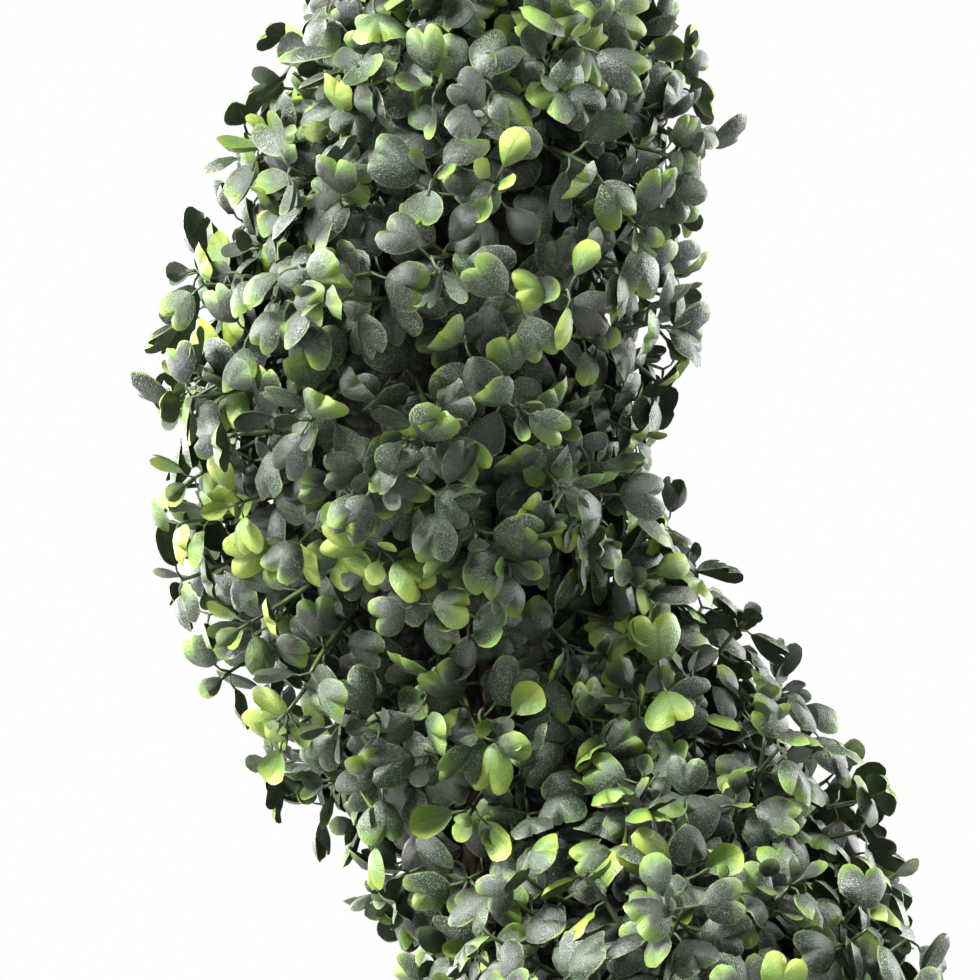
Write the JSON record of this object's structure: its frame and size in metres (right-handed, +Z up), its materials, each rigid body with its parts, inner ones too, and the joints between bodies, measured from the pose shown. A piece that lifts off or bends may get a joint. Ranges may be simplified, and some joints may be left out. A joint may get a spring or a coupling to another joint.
{
  "type": "artificial boxwood spiral topiary in a pot",
  "caption": "Artificial boxwood spiral topiary: a thick strand of small notched leaves winds up round a straight stem to a pointed tip, in a plain round pot.",
  "frame": {"origin": "centre of the pot's flat underside", "axes": "+Z up along the stem; -Y faces the viewer of the picture and +X is to the viewer's right"},
  "size_m": [0.3163, 0.3332, 1.206],
  "materials": {
    "leaves": "satin",
    "bark": "matte",
    "pot_plastic": "satin",
    "pot_fill": "matte"
  },
  "bodies": {
    "root": {"pot": "pot_plastic", "pot_fill": "pot_fill", "stem": "bark", "bough_01": "bark", "bough_02": "bark", "bough_03": "bark", "bough_04": "bark", "bough_05": "bark", "bough_06": "bark", "foliage_01": "leaves", "foliage_02": "leaves", "foliage_03": "leaves", "foliage_04": "leaves", "foliage_05": "leaves", "foliage_06": "leaves", "foliage_07": "leaves", "foliage_08": "leaves", "foliage_09": "leaves", "foliage_10": "leaves", "foliage_11": "leaves", "foliage_12": "leaves"}
  },
  "joints": []
}
